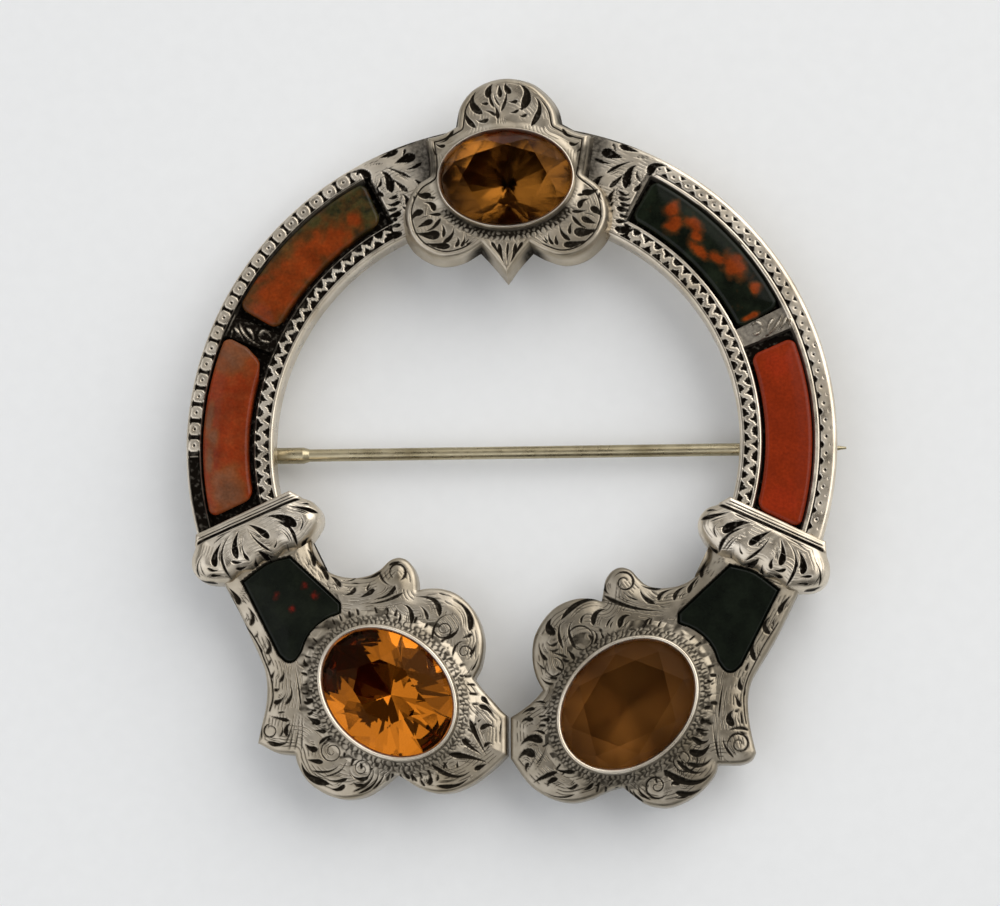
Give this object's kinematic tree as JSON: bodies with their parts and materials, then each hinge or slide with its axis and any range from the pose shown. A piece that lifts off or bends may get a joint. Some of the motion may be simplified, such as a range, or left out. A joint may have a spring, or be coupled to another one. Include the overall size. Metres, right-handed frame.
{
  "type": "penannular brooch",
  "caption": "Open silver ring brooch inlaid with agates, with a trefoil boss, leaf capitals, lobed terminals, faceted citrines and a hinged straight pin.",
  "frame": {"origin": "on the surface that the brooch lies on, under the middle of its outline", "axes": "+Z out of the brooch's face, +Y from the ring's centre to the trefoil boss, +X along the pin from its hinge to its point"},
  "size_m": [0.0572, 0.0644, 0.009],
  "materials": {
    "silver": "cast and chased silver, polished high spots and dark oxide in the cuts",
    "green_bloodstone": "polished green-black bloodstone with orange-red patches",
    "veined_jasper": "polished orange-red jasper with pale veins",
    "red_jasper": "polished brick-red jasper",
    "dark_bloodstone": "polished near-black bloodstone with small red flecks",
    "citrine": "faceted amber-orange citrine"
  },
  "bodies": {
    "brooch": {"silver_frame": "silver", "hinge_rivet": "silver", "upper_left_stone": "green_bloodstone", "upper_right_stone": "green_bloodstone", "lower_left_stone": "veined_jasper", "lower_right_stone": "red_jasper", "left_neck_stone": "dark_bloodstone", "right_neck_stone": "dark_bloodstone", "boss_citrine": "citrine", "left_citrine": "citrine", "right_citrine": "citrine"},
    "pin": {"pin": "silver"}
  },
  "joints": [
    {"name": "pin_hinge", "type": "hinge", "parent": "brooch", "child": "pin", "pos_m": [-0.02448, -0.00056, 0.0014], "axis": [0, 1, 0], "range_deg": [0, 80]}
  ]
}
